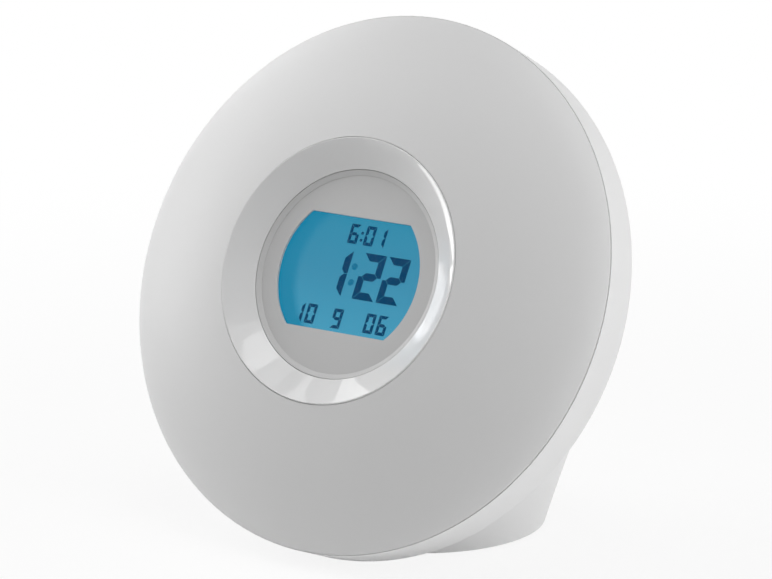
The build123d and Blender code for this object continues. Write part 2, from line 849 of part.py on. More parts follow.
jack_inner = -jack_boss_depth
base_screw_circle = foot_radius - base_screw_inset
pad_circle = foot_radius - pad_inset
base_posts = around(base_screw_circle, base_post_angles)
cover_outer = pad_proud + cover_recess
cover_inner = cover_outer + cover_thickness
snap_groove = band_inside + snap_height + key_run


def cap_shape(width, length, grow=0.0):
    corner = min(length / 2 - snug, key_corner)
    return RectangleRounded(width + 2 * grow, length + 2 * grow, corner + grow)


def keypad_cuts():
    cuts = slab(keypad_width, keypad_length, keypad_corner, -keypad_recess, 2 * beyond)
    for x, y, width, length in key_places.values():
        hole = Pos(x, y, keypad_inner - overlap) * cap_shape(width, length, slip)
        cuts += extrude(hole, keypad_floor + 2 * overlap)
    return cuts


def grille_cuts():
    """Horizontal sound slots that fill a circle."""
    cuts = []
    rows = int(grille_radius / grille_pitch)
    for row in range(-rows, rows + 1):
        y = row * grille_pitch
        length = 2 * math.sqrt(grille_radius ** 2 - y ** 2)
        if length > grille_shortest:
            slot = Pos(0, y, -speaker_depth) * SlotOverall(length, grille_slot)
            cuts.append(extrude(slot, speaker_depth + beyond))
    return cuts


def housing_bosses():
    """What stands inside the shell: keypad frame, posts, speaker seat, inlet pad and ribs."""
    frame_width = keypad_width + 2 * keypad_frame
    frame_length = keypad_length + 2 * keypad_frame
    frame_corner = keypad_corner + keypad_frame
    bosses = keypad.location * slab(frame_width, frame_length, frame_corner, keypad_inner, 2 * beyond)
    for place in main_posts:
        bosses += keypad.location * place * disc(main_post_radius, main_board_front, 0)
    seat = ring(speaker_seat_radius + speaker_seat_wall, speaker_seat_radius, -speaker_depth, beyond)
    bosses += speaker.location * seat
    for place in speaker_posts:
        bosses += speaker.location * place * disc(main_post_radius, -speaker_depth, beyond)
    bosses += inlet.location * disc(jack_flange_radius + jack_boss, jack_inner, beyond)
    top = cover_inner + base_post_length
    for angle in base_post_angles:
        post = disc(base_post_radius, cover_inner, top, base_screw_circle)
        rib_x = base_screw_circle + base_post_radius + base_rib_length / 2 - base_rib_thickness
        rib = block(base_rib_length, base_rib_thickness, cover_inner, top, rib_x)
        bosses += foot.location * Rot(0, 0, angle) * (post + rib)
    post_radius = tray_screw_inset - band_wall - slip
    for place in around(tray_screw_circle, evenly(tray_screw_count)):
        bosses += face.location * place * disc(post_radius, -cone_top_depth, flange_low)
    return bosses


def rear_housing():
    body = outside - housing_inside()
    body += housing_bosses() & outside
    body -= keypad.location * keypad_cuts()
    for place in main_posts:
        body -= keypad.location * place * blind_pilot(main_board_front)
    for cut in grille_cuts():
        body -= speaker.location * cut
    for place in speaker_posts:
        body -= speaker.location * place * blind_pilot(-speaker_depth)
    body -= inlet.location * disc(jack_flange_radius + jack_recess_gap, -jack_recess, beyond)
    body -= inlet.location * disc(jack_barrel_radius + snug, jack_inner - beyond, beyond)
    hole_top = cover_inner + base_screw_length + overlap
    for place in base_posts:
        hole = disc(base_screw_radius + pilot_gap, cover_inner - overlap, hole_top)
        body -= foot.location * place * hole
    for place in around(tray_screw_circle, evenly(tray_screw_count)):
        body -= face.location * place * pilot_hole(flange_low - screw_bite - overlap, flange_low + overlap)
    body -= face.location * ring(
        snap_groove,
        skirt_outer,
        snap_level - snap_width - snug,
        snap_level + snap_width / 2 + snug,
    )
    return body


# ---- keys and main board -------------------------------------------------------------------------
def key(x, y, width, length):
    """Push key: cap, retaining flange behind the keypad floor, stem into its switch."""
    top = -keypad_recess + key_proud
    cap = extrude(Pos(0, 0, flange_front) * cap_shape(width, length), top - flange_front)
    cap = fillet(cap.edges().group_by(Axis.Z)[-1], key_round)
    flange_back = flange_front - key_flange_thickness
    flange = extrude(Pos(0, 0, flange_back) * cap_shape(width, length, key_flange), key_flange_thickness)
    stem = disc(stem_radius, stem_end, flange_back)
    return keypad.location * Pos(x, y) * (cap + flange + stem)


def tact_switches():
    body = slab(switch_size, switch_size, key_round, main_board_front, switch_top)
    body -= disc(stem_radius + key_run, stem_end - key_travel - key_reserve, switch_top + overlap)
    return keypad.location * copies(body, [Pos(x, y) for x, y, width, length in key_places.values()])


def main_board():
    body = slab(main_board_width, main_board_length, 2.0, main_board_back, main_board_front)
    for place in main_posts:
        body -= place * through_hole(main_board_back - overlap, main_board_front + overlap)
    return keypad.location * body


def board_parts():
    """Controller, amplifier, radio module, crystal, storage capacitors and plug sockets."""
    low = main_board_back
    parts = [slab(size, size, chip_corner, low - height, low, x, y) for size, height, x, y in board_chips]
    parts += [disc(radius, low - height, low, x, y) for radius, height, x, y in board_cans]
    parts += [block(width, socket_length, low - socket_height, low, x, y) for width, x, y in board_sockets]
    width, length, height, x, y = board_crystal
    parts.append(block(width, length, low - height, low, x, y))
    return keypad.location * group(parts)


def main_board_screws():
    return keypad.location * copies(from_behind(main_board_back, small_screw(board_thickness)), main_posts)


# ---- speaker -------------------------------------------------------------------------------------
speaker_back = -speaker_depth - speaker_flange
speaker_bore = speaker_size / 2 - speaker_rim + snug
basket_back = -speaker_depth - speaker_body
magnet_back = basket_back - basket_wall - magnet_length


def speaker_basket():
    flange = slab(speaker_size, speaker_size, speaker_corner, speaker_back, -speaker_depth)
    flange -= disc(speaker_bore, speaker_back - overlap, 0)
    for place in speaker_posts:
        flange -= place * through_hole(speaker_back - overlap, 0)
    shoulder = speaker_back - speaker_flange
    basket = turned(
        (speaker_bore, -speaker_depth),
        (speaker_bore + basket_wall, -speaker_depth),
        (speaker_bore + basket_wall, shoulder),
        (basket_end, basket_back - basket_wall),
        (coil_gap_radius, basket_back - basket_wall),
        (coil_gap_radius, basket_back),
        (basket_end - basket_wall / 2, basket_back),
        (speaker_bore, shoulder),
    )
    low = basket_back + basket_wall
    middle = (speaker_bore + basket_end) / 2
    window = block(basket_window_length, basket_window_width, low, shoulder - overlap, middle)
    for angle in basket_window_angles:
        basket -= Rot(0, 0, angle) * window
    return speaker.location * (flange + basket)


def speaker_magnet():
    """Ring magnet, back plate and the pole inside the coil."""
    top = basket_back - basket_wall
    ring_magnet = ring(magnet_radius, coil_gap_radius, magnet_back, top)
    plate = disc(magnet_radius + slip, magnet_back - diffuser_wall, magnet_back)
    pole = disc(pole_radius, magnet_back, basket_back + overlap)
    return speaker.location * (ring_magnet + plate + pole)


def speaker_cone():
    """Paper cone with its rolled surround, dust cap and voice coil former."""
    rim = speaker_size / 2 - speaker_rim
    rim_level = speaker_back + snug / 2
    inner_rim = rim - surround_width
    neck = basket_back + cone_neck
    crown = (1 - surround_crown) / 2 * surround_width
    body = turned(
        (rim, rim_level),
        (rim, rim_level - paper),
        (inner_rim, rim_level - paper),
        (dust_cap_radius, neck - paper),
        (coil_radius, neck - paper),
        (coil_radius, basket_back - coil_depth),
        (coil_radius - coil_wall, basket_back - coil_depth),
        (coil_radius - coil_wall, neck),
        (dust_cap_radius, neck),
        (inner_rim, rim_level),
        (inner_rim + crown, rim_level + paper),
        (rim - crown, rim_level + paper),
    )
    cap_low = neck - snug / 2
    cap_top = cap_low + dust_cap_rise
    cap_radius = dust_cap_radius - snug
    cap_ball = (cap_radius ** 2 + dust_cap_rise ** 2) / (2 * dust_cap_rise)
    half = cap_radius / 2
    cap_outline = [
        ThreePointArc(
            (0, cap_top),
            (half, cap_top - cap_ball + math.sqrt(cap_ball ** 2 - half ** 2)),
            (cap_radius, cap_low),
        ),
        Polyline((cap_radius, cap_low), (0, cap_low), (0, cap_top)),
    ]
    cap = revolve(Plane.XZ * make_face(cap_outline), Axis.Z)
    cap = revolve(Plane.XZ * make_face(cap_outline), Axis.Z)
    return speaker.location * (body + cap)


def speaker_screws():
    return speaker.location * copies(from_behind(speaker_back, small_screw(speaker_flange)), speaker_posts)


# ---- power inlet ---------------------------------------------------------------------------------
def dc_jack():
    front = -jack_recess + jack_flange_thickness
    back = front - jack_length
    body = disc(jack_flange_radius, -jack_recess, front) + disc(jack_barrel_radius, back, -jack_recess)
    body = fillet(body.edges().group_by(Axis.Z)[-1], jack_flange_thickness / 3)
    body -= disc(jack_bore_radius, front - jack_bore_depth, front + overlap)
    body += disc(jack_pin_radius, front - jack_bore_depth, front - jack_pin_set)
    for x in (-jack_tag_offset, jack_tag_offset):
        body += block(jack_tag_thickness, jack_tag_width, back - jack_tag_length, back, x)
    return inlet.location * body


def dc_jack_nut():
    outline = RegularPolygon(jack_nut_across / 2, 6, major_radius=False)
    nut = extrude(Pos(0, 0, jack_inner - jack_nut_thickness) * outline, jack_nut_thickness)
    nut -= disc(jack_barrel_radius + pilot_gap, jack_inner - beyond, 0)
    return inlet.location * nut


# ---- base ----------------------------------------------------------------------------------------
door_radius = cell_radius + door_margin
door_hole = door_radius + slip
well_inner = door_radius + door_lug_reach + slip
well_top = cover_inner + well_height
lug_low = cover_inner + door_play
lug_high = lug_low + door_lug_thickness
cell_low = lug_high + cell_gap
cell_high = cell_low + cell_thickness
guide_inner = cell_radius + slip


def base_cover():
    body = disc(foot_radius - housing_wall - slip, cover_outer, cover_inner)
    body += ring(well_inner + well_wall, well_inner, cover_inner, well_top)
    body += disc(well_inner + well_wall, well_top, well_top + well_wall)
    body += ring(guide_inner + cell_guide_wall, guide_inner, cell_low, well_top)
    body -= disc(door_hole, cover_outer - overlap, cover_inner)
    for angle in (door_turn, door_turn + 180):
        notch = sector(
            well_inner,
            door_hole - overlap,
            door_lug_angle + door_lug_play,
            cover_outer - overlap,
            cover_inner,
            angle,
        )
        body -= notch
    guide_outer = guide_inner + 2 * cell_guide_wall
    body -= sector(guide_outer, guide_inner - overlap, contact_gap_angle, cell_low - overlap, well_top, 0)
    for place in base_posts:
        body -= place * disc(base_screw_radius + through_gap, 0, cover_inner + overlap)
        body -= place * disc(base_screw_head_radius + through_gap, 0, cover_outer + base_head_seat)
    for place in around(pad_circle, evenly(pad_count)):
        body -= place * disc(pad_radius + pilot_gap, 0, pad_thickness)
    return foot.location * body


def rubber_feet():
    pad = disc(pad_radius, 0, pad_thickness)
    pad = fillet(pad.edges().group_by(Axis.Z)[0], pad_round)
    return foot.location * copies(pad, around(pad_circle, evenly(pad_count)))


def base_screws():
    piece = screw(base_screw_radius, base_screw_head_radius, base_screw_length)
    return foot.location * copies(from_behind(cover_outer + base_head_seat, piece), base_posts)


def battery_door():
    """Quarter-turn door: two lugs hook over the cover, and a coin turns it."""
    body = disc(door_radius, cover_outer, cover_outer + door_thickness)
    body += ring(door_radius, door_radius - door_rim_wall, cover_outer + overlap, lug_high)
    for angle in (0, 180):
        inner = door_radius - door_rim_wall / 2
        body += sector(door_radius + door_lug_reach, inner, door_lug_angle, lug_low, lug_high, angle)
    slot_end = door_slot / 2 - pilot_gap
    body -= slab(door_slot_length, door_slot, slot_end, cover_outer - overlap, cover_outer + overlap)
    return foot.location * body


def coin_cell():
    step = cell_low + cell_thickness / 4
    can = disc(cell_radius, step, cell_high)
    cap = disc(cell_radius - cell_rim, cell_low, step)
    return foot.location * (can + cap)


def battery_contacts():
    """Sprung plate above the cell and a leaf against its side."""
    low = cell_high + door_play
    high = low + contact_thickness
    plate = slab(contact_length, contact_width, contact_corner, low, high)
    plate += disc(contact_tag_radius, high, well_top)
    leaf = block(leaf_thickness, leaf_width, cell_low, well_top, cell_radius + leaf_thickness)
    return foot.location * group([plate, leaf])


nodes = {
    "light_diffuser": light_diffuser,
    "display_bezel": display_bezel,
    "display_mask": display_mask,
    "display_lens": display_lens,
    "lcd_front_glass": lcd_front_glass,
    "lcd_rear_glass": lcd_rear_glass,
    "light_guide": light_guide,
    "backlight_leds": backlight_leds,
    "backlight_board": backlight_board,
    "zebra_strip": zebra_strip,
    "display_holder": display_holder,
    "display_board": display_board,
    "display_screws": display_screws,
    "reflector_tray": reflector_tray,
    "led_board": led_board,
    "leds": leds,
    "led_board_screws": led_board_screws,
    "tray_screws": tray_screws,
    "hub_screws": hub_screws,
    "rear_housing": rear_housing,
    "tact_switches": tact_switches,
    "main_board": main_board,
    "board_parts": board_parts,
    "main_board_screws": main_board_screws,
    "speaker_basket": speaker_basket,
    "speaker_magnet": speaker_magnet,
    "speaker_cone": speaker_cone,
    "speaker_screws": speaker_screws,
    "dc_jack": dc_jack,
    "dc_jack_nut": dc_jack_nut,
    "base_cover": base_cover,
    "rubber_feet": rubber_feet,
    "base_screws": base_screws,
    "battery_door": battery_door,
    "coin_cell": coin_cell,
    "battery_contacts": battery_contacts,
}

os.makedirs("parts", exist_ok=True)
for name, build in nodes.items():
    export_step(build(), f"parts/{name}.step")
for name, place in key_places.items():
    export_step(key(*place), f"parts/{name}.step")
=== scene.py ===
import json
import math

import bpy
from mathutils import Matrix, Vector


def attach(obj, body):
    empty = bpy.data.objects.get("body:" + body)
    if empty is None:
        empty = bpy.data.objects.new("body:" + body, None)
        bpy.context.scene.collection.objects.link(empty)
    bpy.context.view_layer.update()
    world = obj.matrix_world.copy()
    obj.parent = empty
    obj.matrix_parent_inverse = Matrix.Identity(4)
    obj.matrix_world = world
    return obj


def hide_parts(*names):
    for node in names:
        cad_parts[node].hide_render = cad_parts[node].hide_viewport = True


# Sunrise alarm clock, in metres. The clock faces -Y on a floor at z = 0.
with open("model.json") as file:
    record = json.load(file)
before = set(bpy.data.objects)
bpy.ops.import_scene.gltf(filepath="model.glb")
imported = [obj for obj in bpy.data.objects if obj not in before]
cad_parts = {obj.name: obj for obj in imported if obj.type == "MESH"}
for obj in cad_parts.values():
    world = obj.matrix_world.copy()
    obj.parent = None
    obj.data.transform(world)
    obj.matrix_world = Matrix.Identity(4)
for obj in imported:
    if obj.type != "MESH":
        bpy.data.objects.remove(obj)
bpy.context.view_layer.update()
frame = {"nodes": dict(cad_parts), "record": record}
nodes = frame["nodes"]
slots = {part["node"]: part["material_slot"] for part in frame["record"]["subparts"]}
mm = 0.001
smoothAngle = math.radians(30)

clockFace = {
    "tilt": 24.08,  # the lamp disc leans back, degrees
    "height": 101.3 * mm,  # middle of the window above the floor
    "y": -36.641 * mm,
}

tiltSin = math.sin(math.radians(clockFace["tilt"]))
tiltCos = math.cos(math.radians(clockFace["tilt"]))
faceCentre = Vector((0, clockFace["y"], clockFace["height"]))
faceUp = Vector((0, tiltSin, tiltCos))  # up along the disc
faceOut = Vector((0, -tiltCos, tiltSin))  # out of the disc


def deselectAll():
    if bpy.context.object and bpy.context.object.mode != "OBJECT":
        bpy.ops.object.mode_set(mode="OBJECT")
    bpy.ops.object.select_all(action="DESELECT")


# edit mode, with all of the active piece selected
def editWhole():
    bpy.ops.object.mode_set(mode="EDIT")
    bpy.ops.mesh.select_all(action="SELECT")


def joinPieces(pieces, name):
    deselectAll()
    for piece in pieces:
        piece.select_set(True)
    bpy.context.view_layer.objects.active = pieces[0]
    bpy.ops.object.join()
    joined = bpy.context.object
    joined.name = name
    return joined


# a value, or another node's output, goes into a socket
def feed(tree, socket, value):
    if isinstance(value, bpy.types.NodeSocket):
        tree.links.new(value, socket)
    else:
        socket.default_value = value


# stops are pairs of position and colour
def ramp(tree, source, stops):
    node = tree.nodes.new("ShaderNodeValToRGB")
    elements = node.color_ramp.elements
    for index, (position, colour) in enumerate(stops):
        element = elements[index] if index < 2 else elements.new(position)
        element.position = position
        element.color = (*colour, 1)
    feed(tree, node.inputs["Fac"], source)
    return node.outputs["Color"]


def mathNode(tree, operation, *values, clamp=False):
    node = tree.nodes.new("ShaderNodeMath")
    node.operation = operation
    node.use_clamp = clamp
    for socket, value in zip(node.inputs, values):
        feed(tree, socket, value)
    return node.outputs["Value"]


def mixColours(tree, share, first, second, blend="MIX"):
    node = tree.nodes.new("ShaderNodeMixRGB")
    node.blend_type = blend
    feed(tree, node.inputs["Fac"], share)
    feed(tree, node.inputs["Color1"], first)
    feed(tree, node.inputs["Color2"], second)
    return node.outputs["Color"]


# nought below one value, one above another, and a slope between them
def shareBetween(tree, value, low, high):
    node = tree.nodes.new("ShaderNodeMapRange")
    feed(tree, node.inputs["Value"], value)
    feed(tree, node.inputs["From Min"], low)
    feed(tree, node.inputs["From Max"], high)
    return node.outputs["Result"]


def noise(tree, scale, detail, breakup, vector):
    node = tree.nodes.new("ShaderNodeTexNoise")
    feed(tree, node.inputs["Scale"], scale)
    feed(tree, node.inputs["Detail"], detail)
    feed(tree, node.inputs["Roughness"], breakup)
    feed(tree, node.inputs["Vector"], vector)
    return node.outputs["Fac"]


def ownCoordinates(tree):
    return tree.nodes.new("ShaderNodeTexCoord").outputs["Object"]


def newGroup(name, inputs, outputs):
    tree = bpy.data.node_groups.new(name, "ShaderNodeTree")
    for label, kind, value in inputs:
        socket = tree.interface.new_socket(name=label, in_out="INPUT", socket_type=kind)
        socket.default_value = value
    for label, kind in outputs:
        tree.interface.new_socket(name=label, in_out="OUTPUT", socket_type=kind)
    return tree, tree.nodes.new("NodeGroupInput").outputs, tree.nodes.new("NodeGroupOutput").inputs


def useGroup(tree, group, values):
    node = tree.nodes.new("ShaderNodeGroup")
    node.node_tree = group
    for label, value in values.items():
        node.inputs[label].default_value = value
    return node.outputs


moulding = {
    "flowScale": 14.0,  # broad waves of tone
    "flowTone": (0.985, 0.985, 0.985),
    "markScale": 160.0,  # faint handling marks in the gloss
    "bumpStrength": 0.5,
    "bumpDepth": 0.2 * mm,
    "coatRoughness": 0.04,
}


# fine spark-eroded grain, broad flow waves and faint handling marks of a moulding
def makeMouldedSurface():
    tree, source, target = newGroup(
        "mouldedSurface",
        [
            ("Colour", "NodeSocketColor", (0.8, 0.8, 0.8, 1)),
            ("Grain size", "NodeSocketFloat", 2500.0),
            ("Grain depth", "NodeSocketFloat", 0.1),
            ("Roughness", "NodeSocketFloat", 0.4),
            ("Variation", "NodeSocketFloat", 0.06),
        ],
        [("Colour", "NodeSocketColor"), ("Roughness", "NodeSocketFloat"), ("Height", "NodeSocketFloat")],
    )
    coordinates = ownCoordinates(tree)
    grain = noise(tree, source["Grain size"], 2.0, 0.5, coordinates)
    flow = noise(tree, moulding["flowScale"], 2.0, 0.5, coordinates)
    marks = noise(tree, moulding["markScale"], 5.0, 0.65, coordinates)
    tone = ramp(tree, flow, [(0.3, moulding["flowTone"]), (0.7, (1, 1, 1))])
    spread = mathNode(tree, "MULTIPLY", mathNode(tree, "SUBTRACT", marks, 0.5), source["Variation"])
    rough = mathNode(tree, "ADD", source["Roughness"], spread, clamp=True)
    feed(tree, target["Colour"], mixColours(tree, 1.0, source["Colour"], tone, "MULTIPLY"))
    feed(tree, target["Roughness"], rough)
    feed(tree, target["Height"], mathNode(tree, "MULTIPLY", grain, source["Grain depth"]))
    return tree


# two tones that drift into each other in soft clouds, or in fine lines where they are stretched
def makeClouds():
    tree, source, target = newGroup(
        "clouds",
        [
            ("First colour", "NodeSocketColor", (0, 0, 0, 1)),
            ("Second colour", "NodeSocketColor", (1, 1, 1, 1)),
            ("First level", "NodeSocketFloat", 0.3),
            ("Second level", "NodeSocketFloat", 0.7),
            ("Stretch", "NodeSocketVector", (1, 1, 1)),
            ("Scale", "NodeSocketFloat", 100.0),
            ("Detail", "NodeSocketFloat", 3.0),
            ("Breakup", "NodeSocketFloat", 0.5),
        ],
        [("Colour", "NodeSocketColor"), ("Cloud", "NodeSocketFloat")],
    )
    stretch = tree.nodes.new("ShaderNodeVectorMath")
    stretch.operation = "MULTIPLY"
    feed(tree, stretch.inputs[0], ownCoordinates(tree))
    feed(tree, stretch.inputs[1], source["Stretch"])
    stretched = stretch.outputs["Vector"]
    cloud = noise(tree, source["Scale"], source["Detail"], source["Breakup"], stretched)
    share = shareBetween(tree, cloud, source["First level"], source["Second level"])
    colour = mixColours(tree, share, source["First colour"], source["Second colour"])
    feed(tree, target["Colour"], colour)
    feed(tree, target["Cloud"], cloud)
    return tree


boardTracks = {"scale": 420.0, "edge": 0.42, "gap": 0.5}  # a track's slope runs between these levels


# solder resist over copper tracks
def makeTracks():
    tree, source, target = newGroup(
        "tracks",
        [("Colour", "NodeSocketColor", (0, 0, 0, 1)), ("Track colour", "NodeSocketColor", (1, 1, 1, 1))],
        [("Colour", "NodeSocketColor"), ("Height", "NodeSocketFloat")],
    )
    cells = tree.nodes.new("ShaderNodeTexVoronoi")
    cells.distance = "MANHATTAN"
    feed(tree, cells.inputs["Scale"], boardTracks["scale"])
    feed(tree, cells.inputs["Vector"], ownCoordinates(tree))
    height = cells.outputs["Distance"]
    share = shareBetween(tree, height, boardTracks["edge"], boardTracks["gap"])
    feed(tree, target["Colour"], mixColours(tree, share, source["Track colour"], source["Colour"]))
    feed(tree, target["Height"], height)
    return tree


mouldedSurface = makeMouldedSurface()
clouds = makeClouds()
tracks = makeTracks()


def newMaterial(name):
    material = bpy.data.materials.new(name)
    material.use_nodes = True
    tree = material.node_tree
    return material, tree, tree.nodes["Principled BSDF"]


def bump(tree, shader, height, strength, depth):
    node = tree.nodes.new("ShaderNodeBump")
    node.inputs["Strength"].default_value = strength
    node.inputs["Distance"].default_value = depth
    feed(tree, node.inputs["Height"], height)
    feed(tree, shader.inputs["Normal"], node.outputs["Normal"])


def toned(colour, share):
    return (*(share * part for part in colour), 1)


def moulded(name, colour, roughness, grainSize, grainDepth, variation=0.06, coat=0.0, gloss=0.5):
    material, tree, shader = newMaterial(name)
    surface = useGroup(
        tree,
        mouldedSurface,
        {
            "Colour": toned(colour, 1),
            "Grain size": grainSize,
            "Grain depth": grainDepth,
            "Roughness": roughness,
            "Variation": variation,
        },
    )
    feed(tree, shader.inputs["Base Color"], surface["Colour"])
    feed(tree, shader.inputs["Roughness"], surface["Roughness"])
    shader.inputs["Coat Weight"].default_value = coat
    shader.inputs["Coat Roughness"].default_value = moulding["coatRoughness"]
    shader.inputs["Specular IOR Level"].default_value = gloss
    bump(tree, shader, surface["Height"], moulding["bumpStrength"], moulding["bumpDepth"])
    return material


drawnLines = {
    "stretch": (400, 400, 40),  # the lines run along Z
    "dark": 0.8,  # share of the colour left in their valleys
    "roughnessSpread": 0.2,
    "depth": 0.1 * mm,
}


# plated or rolled metal with fine drawn lines
def metal(name, colour, roughness):
    material, tree, shader = newMaterial(name)
    lines = useGroup(
        tree,
        clouds,
        {
            "First colour": toned(colour, drawnLines["dark"]),
            "Second colour": toned(colour, 1),
            "Stretch": drawnLines["stretch"],
            "Scale": 6.0,
            "Detail": 4.0,
            "Breakup": 0.6,
        },
    )
    spread = drawnLines["roughnessSpread"]
    rough = mathNode(tree, "MULTIPLY_ADD", lines["Cloud"], spread, roughness - spread / 2)
    feed(tree, shader.inputs["Base Color"], lines["Colour"])
    feed(tree, shader.inputs["Roughness"], rough)
    shader.inputs["Metallic"].default_value = 1.0
    bump(tree, shader, lines["Cloud"], 0.3, drawnLines["depth"])
    return material


def circuitBoard(name, colour, trackColour):
    material, tree, shader = newMaterial(name)
    surface = useGroup(tree, tracks, {"Colour": toned(colour, 1), "Track colour": toned(trackColour, 1)})
    feed(tree, shader.inputs["Base Color"], surface["Colour"])
    shader.inputs["Roughness"].default_value = 0.35
    bump(tree, shader, surface["Height"], 0.2, 0.1 * mm)
    return material


# matt and finely speckled: rubber, paper or ferrite
def speckled(name, colour):
    material, tree, shader = newMaterial(name)
    specks = useGroup(
        tree,
        clouds,
        {
            "First colour": toned(colour, 1),
            "Second colour": toned(colour, 1.35),
            "First level": 0.35,
            "Second level": 0.75,
            "Scale": 1800.0,
            "Breakup": 0.7,
        },
    )
    feed(tree, shader.inputs["Base Color"], specks["Colour"])
    shader.inputs["Roughness"].default_value = 0.75
    bump(tree, shader, specks["Cloud"], 0.4, 0.2 * mm)
    return material


clearWindow = {
    "tint": (0.97, 0.985, 1.0),
    "roughness": 0.02,
    "ior": 1.08,  # low, as on a window with a non-reflecting coat
    "waveScale": 60.0,
    "waveDepth": 0.2 * mm,
}


# clear moulded window with faint waviness
def makeClearWindow():
    material, tree, shader = newMaterial("clearWindow")
    shader.inputs["Transmission Weight"].default_value = 1.0
    shader.inputs["IOR"].default_value = clearWindow["ior"]
    shader.inputs["Base Color"].default_value = toned(clearWindow["tint"], 1)
    shader.inputs["Roughness"].default_value = clearWindow["roughness"]
    waves = noise(tree, clearWindow["waveScale"], 2.0, 0.5, ownCoordinates(tree))
    bump(tree, shader, waves, 0.05, clearWindow["waveDepth"])
    return material


lcd = {
    "low": (0.052, 0.305, 0.460),  # backlight at the bottom, middle and top
    "middle": (0.038, 0.250, 0.392),
    "high": (0.024, 0.240, 0.375),
    "height": 40 * mm,  # from the bottom's colour to the top's
    "cloud": (0.95, 0.98, 0.98),  # its faint uneven patches
    # painted shadow of the window's edge, cast on the display at its left
    "shadowCrescent": (0.006, 0.208, 0.350),  # deeper blue at the left edge
    "shadowCrescentShift": 5.5 * mm,
    "shadowCrescentRadius": 26.0 * mm,
    "shadowCrescentFade": 3.0 * mm,
    "shadowCrescentStart": 5.0 * mm,  # it is whole from this far left of the middle
    "segment": (0.0, 0.042, 0.112),
    "faintSegment": (0.008, 0.150, 0.270),
}


# place on the lamp disc, right and up from the middle of the window
def facePlace(tree):
    shift = tree.nodes.new("ShaderNodeVectorMath")
    shift.operation = "SUBTRACT"
    shift.inputs[1].default_value = faceCentre
    feed(tree, shift.inputs[0], ownCoordinates(tree))
    parts = []
    for axis in (Vector((1, 0, 0)), faceUp):
        dot = tree.nodes.new("ShaderNodeVectorMath")
        dot.operation = "DOT_PRODUCT"
        dot.inputs[1].default_value = axis
        feed(tree, dot.inputs[0], shift.outputs["Vector"])
        parts.append(dot.outputs["Value"])
    return parts


# lit from behind, so its colour is in the light that it gives
def glow(tree, shader, colour, body, roughness):
    feed(tree, shader.inputs["Emission Color"], colour)
    shader.inputs["Emission Strength"].default_value = 1.0
    shader.inputs["Base Color"].default_value = toned(body, 1)
    shader.inputs["Roughness"].default_value = roughness
    shader.inputs["Specular IOR Level"].default_value = 0.05


# backlit display: blue, a little paler downwards, with a painted shadow of the window's edge as a deeper
# blue crescent at the left
def makeLcdGlow():
    material, tree, shader = newMaterial("lcdGlow")
    right, up = facePlace(tree)
    level = mathNode(tree, "MULTIPLY_ADD", up, 1 / lcd["height"], 0.5, clamp=True)
    even = ramp(tree, level, [(0.0, lcd["low"]), (0.5, lcd["middle"]), (1.0, lcd["high"])])
    patches = useGroup(
        tree,
        clouds,
        {
            "First colour": toned(lcd["cloud"], 1),
            "First level": 0.35,
            "Second level": 0.62,
            "Scale": 28.0,
            "Detail": 2.0,
            "Breakup": 0.4,
        },
    )
    uneven = mixColours(tree, 1.0, even, patches["Colour"], "MULTIPLY")
    # painted shadow: a crescent of deeper blue along the window's left edge
    shifted = mathNode(tree, "SUBTRACT", right, lcd["shadowCrescentShift"])
    squares = mathNode(tree, "MULTIPLY_ADD", shifted, shifted, mathNode(tree, "MULTIPLY", up, up))
    reach = mathNode(tree, "SUBTRACT", mathNode(tree, "SQRT", squares), lcd["shadowCrescentRadius"])
    reach = mathNode(tree, "DIVIDE", reach, lcd["shadowCrescentFade"], clamp=True)
    leftHalf = mathNode(tree, "MULTIPLY", right, -1 / lcd["shadowCrescentStart"], clamp=True)
    share = mathNode(tree, "MULTIPLY", reach, leftHalf)
    colour = mixColours(tree, share, uneven, toned(lcd["shadowCrescent"], 1))
    glow(tree, shader, colour, (0.01, 0.02, 0.025), 0.3)
    return material


# dark liquid crystal in front of the backlight
def makeSegmentInk(name, colour):
    material, tree, shader = newMaterial(name)
    ink = useGroup(
        tree,
        clouds,
        {
            "First colour": toned(colour, 1),
            "Second colour": toned(colour, 1.12),
            "First level": 0.35,
            "Scale": 90.0,
            "Detail": 2.0,
            "Breakup": 0.4,
        },
    )
    glow(tree, shader, ink["Colour"], (0.002, 0.004, 0.005), 0.4)
    return material


